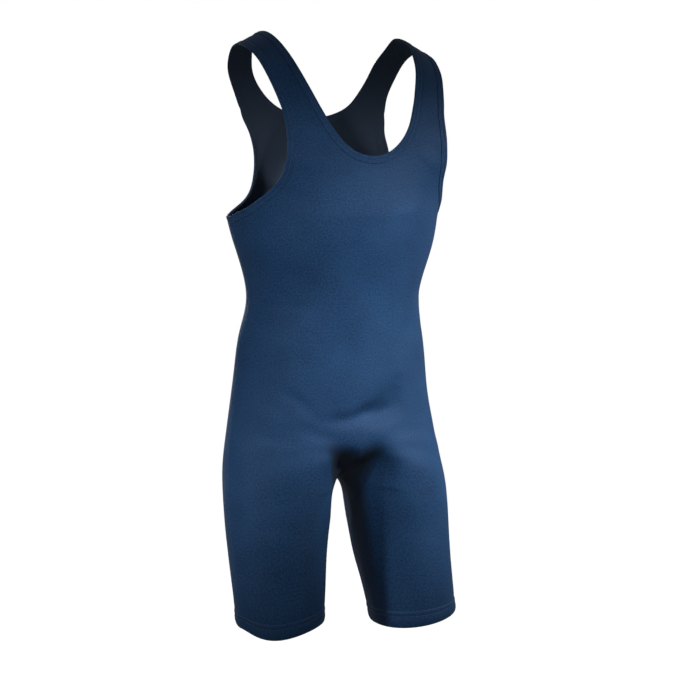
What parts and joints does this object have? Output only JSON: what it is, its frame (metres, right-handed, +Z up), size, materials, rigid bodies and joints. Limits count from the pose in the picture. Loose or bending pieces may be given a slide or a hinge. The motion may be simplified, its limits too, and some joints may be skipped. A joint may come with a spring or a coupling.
{
  "type": "wrestling singlet",
  "caption": "Sleeveless stretch wrestling singlet with a deep scooped neck, wide armholes, bound edges and thigh-length legs, filled out as worn.",
  "frame": {"origin": "midway between the tops of the two shoulder straps, where the wearer's shoulders hold the garment", "axes": "+Z up, +X to the wearer's left, +Y to the wearer's back, so the front faces -Y"},
  "size_m": [0.3444, 0.2351, 0.8536],
  "materials": {
    "front_panel": "satin stretch knit",
    "back_panel": "satin stretch knit",
    "neck_binding": "folded stretch binding",
    "right_armhole_binding": "folded stretch binding",
    "left_armhole_binding": "folded stretch binding",
    "right_leg_hem": "turned elastic hem",
    "left_leg_hem": "turned elastic hem"
  },
  "bodies": {
    "root": {"front_panel": "front_panel", "back_panel": "back_panel", "neck_binding": "neck_binding", "right_armhole_binding": "right_armhole_binding", "left_armhole_binding": "left_armhole_binding", "right_leg_hem": "right_leg_hem", "left_leg_hem": "left_leg_hem"}
  },
  "joints": []
}
